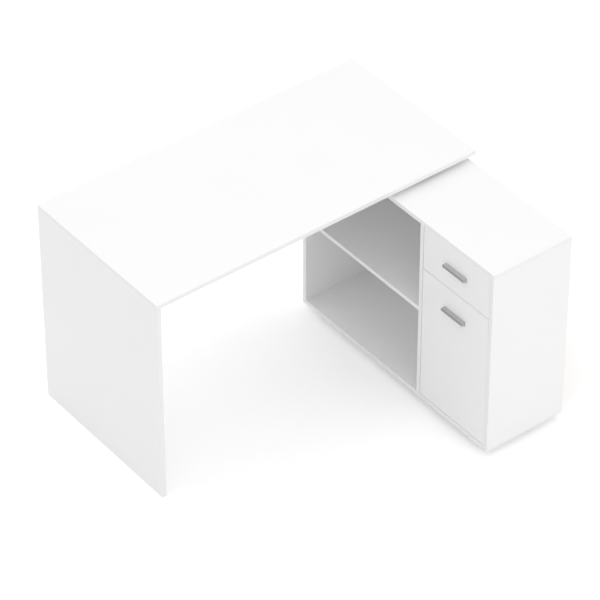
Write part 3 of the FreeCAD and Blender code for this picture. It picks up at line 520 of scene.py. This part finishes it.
def stacked(low, high, rises):
    """Heights on two like pieces, one above the other, that are screwed as each other's mirror."""
    return [low.z + rise for rise in rises] + [high.z - rise for rise in reversed(rises)]


def hinge_screws():
    """Two on each cup's ears, two on each mounting plate's wings and two along each arm."""
    low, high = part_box("hinge_cups")
    ear = (low.y + high.y) / 2 + CUP_EAR_MIDDLE
    places = [(high.x, ear, z) for z in stacked(low, high, CUP_EAR_HEIGHTS)]
    yield "hinge_cup_screws", places, (1.0, 0.0, 0.0), "door", 1.0

    low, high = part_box("hinge_plates")
    middle = (low.x + high.x) / 2
    places = [(middle, low.y + PLATE_STEEL, z) for z in stacked(low, high, PLATE_HEIGHTS)]
    yield "hinge_plate_screws", places, (0.0, 1.0, 0.0), "desk", 1.0

    low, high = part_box("hinge_arms")
    places = [(high.x - x, low.y + ARM_THICKNESS, z) for x in ARM_FROM_REAR
              for z in stacked(low, high, [ARM_HALF_WIDTH])]
    yield "hinge_arm_screws", places, (0.0, 1.0, 0.0), "desk", 1.1


def riser_screws():
    """Three up through the cabinet's top into each riser."""
    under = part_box("cabinet_top")[0].z
    for side in ("left", "right"):
        low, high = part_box(f"{side}_riser")
        middle = (low.x + high.x) / 2
        places = [(middle, y, under)
                  for y in (low.y + RISER_END, (low.y + high.y) / 2, high.y - RISER_END)]
        yield f"{side}_riser_screws", places, (0.0, 0.0, -1.0), "desk", 1.0


def modesty_screws():
    """Four through the modesty panel into the cabinet's far end."""
    low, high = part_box("modesty_panel")
    end_low, end_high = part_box("far_end_panel")
    places = [(x, high.y, z) for x in (end_low.x + MODESTY_SIDE, end_high.x - MODESTY_SIDE)
              for z in (low.z + MODESTY_FOOT, end_high.z - MODESTY_HEAD)]
    yield "modesty_screws", places, (0.0, 1.0, 0.0), "desk", 1.0


SCREW_ROWS = (cabinet_runner_screws, handle_screws, drawer_runner_screws, hinge_screws,
              riser_screws, modesty_screws)


# ---------------------------------------------------------------- studio
def background_rays(nodes, links):
    """1 for camera and glossy rays, which see the plain background, and 0 for all others."""
    path = nodes.new("ShaderNodeLightPath")
    shown = nodes.new("ShaderNodeMath")
    shown.operation = "MAXIMUM"
    links.new(path.outputs["Is Camera Ray"], shown.inputs[0])
    links.new(path.outputs["Is Glossy Ray"], shown.inputs[1])
    return shown.outputs[0]


def add_floor(studio, scene):
    """Flat floor that keeps the desk's shade and turns to plain white far away."""
    mesh = bpy.data.meshes.new("studio_floor")
    corners = [(-FLOOR_REACH, -FLOOR_REACH, 0.0), (FLOOR_REACH, -FLOOR_REACH, 0.0),
               (FLOOR_REACH, FLOOR_REACH, 0.0), (-FLOOR_REACH, FLOOR_REACH, 0.0)]
    mesh.from_pydata(corners, [], [(0, 1, 2, 3)])
    floor = bpy.data.objects.new("studio_floor", mesh)
    scene.collection.objects.link(floor)
    look = Shader("studio_floor", studio.floor, 0.9)
    look.set(look.shader, "Specular IOR Level", 0.0)
    away = look.nodes.new("ShaderNodeVectorMath")
    away.operation = "LENGTH"
    look.links.new(look.place.outputs["Object"], away.inputs[0])
    glow = look.nodes.new("ShaderNodeMapRange")
    look.set(glow, "From Min", studio.glow_start)
    look.set(glow, "From Max", studio.glow_end)
    look.set(glow, "To Min", studio.floor_glow)
    look.set(glow, "To Max", studio.far_glow)
    look.links.new(away.outputs["Value"], glow.inputs["Value"])
    shown = background_rays(look.nodes, look.links)
    look.set(look.shader, "Emission Color", WHITE)
    look.drive("Emission Strength", look.math("MULTIPLY", shown, glow.outputs["Result"]))
    mesh.materials.append(look.material)


def add_sky(studio, scene):
    """Even white light from all round, seen as plain white behind the desk."""
    world = bpy.data.worlds.new("studio_sky")
    world.use_nodes = True
    scene.world = world
    nodes = world.node_tree.nodes
    links = world.node_tree.links
    light = nodes["Background"]
    seen = nodes.new("ShaderNodeBackground")
    for background, strength in ((light, studio.sky), (seen, 1.0)):
        background.inputs["Color"].default_value = WHITE
        background.inputs["Strength"].default_value = strength
    blend = nodes.new("ShaderNodeMixShader")
    links.new(background_rays(nodes, links), blend.inputs[0])
    links.new(light.outputs[0], blend.inputs[1])
    links.new(seen.outputs[0], blend.inputs[2])
    links.new(blend.outputs[0], nodes["World Output"].inputs["Surface"])


def add_softboxes(studio, scene):
    """Soft lamps that the camera doesn't see, each turned to its own point."""
    for name, (place, aim, width, height) in SOFTBOXES.items():
        lamp = bpy.data.lights.new(name, "AREA")
        lamp.shape = "RECTANGLE"
        lamp.size = width
        lamp.size_y = height
        lamp.energy = getattr(studio, name)
        softbox = bpy.data.objects.new(name, lamp)
        softbox.location = place
        way = Vector(aim) - Vector(place)
        softbox.rotation_euler = way.to_track_quat("-Z", "Y").to_euler()
        softbox.visible_camera = False
        scene.collection.objects.link(softbox)


def add_camera(studio, scene):
    """Camera high in front of the desk's left corner."""
    shot = bpy.data.cameras.new("studio_camera")
    shot.lens = studio.lens
    shot.sensor_width = SENSOR_WIDTH
    shot.clip_end = VIEW_REACH
    camera = bpy.data.objects.new("studio_camera", shot)
    camera.location = studio.camera_place
    camera.rotation_euler = Euler((math.pi / 2.0 - studio.camera_drop, 0.0,
                                   studio.camera_bearing))
    scene.collection.objects.link(camera)
    scene.camera = camera


# ---------------------------------------------------------------- operators
class DESK_OT_boards(bpy.types.Operator):
    """Dress the melamine boards and the hardboard."""

    bl_idname = "desk.boards"
    bl_label = "Boards"

    def execute(self, context):
        finish = context.scene.desk_board_finish
        for node, (thin_axis, bare_sides) in BOARDS.items():
            dress(node, board_material(finish, thin_axis, bare_sides))
        for node, bare_side in HARDBOARDS.items():
            dress(node, hardboard_material(finish, bare_side))
        return {"FINISHED"}


class DESK_OT_handles(bpy.types.Operator):
    """Dress the two cast handles."""

    bl_idname = "desk.handles"
    bl_label = "Handles"

    def execute(self, context):
        finish = context.scene.desk_metal_finish
        silver = silver_lacquer(finish.handle, finish.handle_roughness, finish.handle_front_shade)
        for node in ("drawer_handle", "door_handle"):
            dress(node, silver)
        return {"FINISHED"}


class DESK_OT_fittings(bpy.types.Operator):
    """Dress the runners, rollers, hinges, cam locks and shelf pins."""

    bl_idname = "desk.fittings"
    bl_label = "Fittings"

    def execute(self, context):
        finish = context.scene.desk_metal_finish
        coat = powder_coat(finish.powder)
        for node in RUNNER_RAILS:
            dress(node, coat)
        wheel = nylon(finish.nylon)
        for node in ROLLERS:
            dress(node, wheel)
        zinc = satin_metal("bright_zinc", finish.zinc, 0.28)
        for node in ZINC_NODES:
            dress(node, zinc)
        dress("cam_locks", satin_metal("zinc_casting", finish.casting, 0.45))
        return {"FINISHED"}


class DESK_OT_screws(bpy.types.Operator):
    """Add the screw heads that show on hinges, runners, handles and panels."""

    bl_idname = "desk.screws"
    bl_label = "Screws"

    def execute(self, context):
        sizes = context.scene.desk_fasteners
        zinc = bpy.data.materials["bright_zinc"]
        for rows in SCREW_ROWS:
            for name, places, outward, body, scale in rows():
                add_screws(name, places, outward, body, scale, zinc, sizes)
        return {"FINISHED"}


class DESK_OT_studio(bpy.types.Operator):
    """Set the floor, the light and the camera."""

    bl_idname = "desk.studio"
    bl_label = "Studio"

    def execute(self, context):
        scene = context.scene
        scene.view_settings.view_transform = "Standard"
        for add in (add_floor, add_sky, add_softboxes, add_camera):
            add(scene.desk_studio, scene)
        return {"FINISHED"}


class DESK_PT_sidebar(bpy.types.Panel):
    """Lists the desk's finishes and the operators that make it."""

    bl_idname = "DESK_PT_sidebar"
    bl_label = "Corner desk"
    bl_space_type = "VIEW_3D"
    bl_region_type = "UI"
    bl_category = "Desk"

    def draw(self, context):
        for operator in OPERATORS:
            self.layout.operator(operator.bl_idname)
        for name, group in GROUPS.items():
            box = self.layout.box()
            settings = getattr(context.scene, name)
            for key in group.__annotations__:
                box.prop(settings, key)


GROUPS = {
    "desk_board_finish": DeskBoardFinish,
    "desk_metal_finish": DeskMetalFinish,
    "desk_fasteners": DeskFasteners,
    "desk_studio": DeskStudio,
}
OPERATORS = (DESK_OT_boards, DESK_OT_handles, DESK_OT_fittings, DESK_OT_screws, DESK_OT_studio)


def register():
    for item in (*GROUPS.values(), *OPERATORS, DESK_PT_sidebar):
        bpy.utils.register_class(item)
    for name, group in GROUPS.items():
        setattr(bpy.types.Scene, name, bpy.props.PointerProperty(type=group))


def unregister():
    for name in GROUPS:
        delattr(bpy.types.Scene, name)
    for item in (DESK_PT_sidebar, *reversed(OPERATORS), *reversed(list(GROUPS.values()))):
        bpy.utils.unregister_class(item)


def main():
    register()
    for operator in OPERATORS:
        group, name = operator.bl_idname.split(".")
        getattr(getattr(bpy.ops, group), name)()


if __name__ == "__main__":
    main()
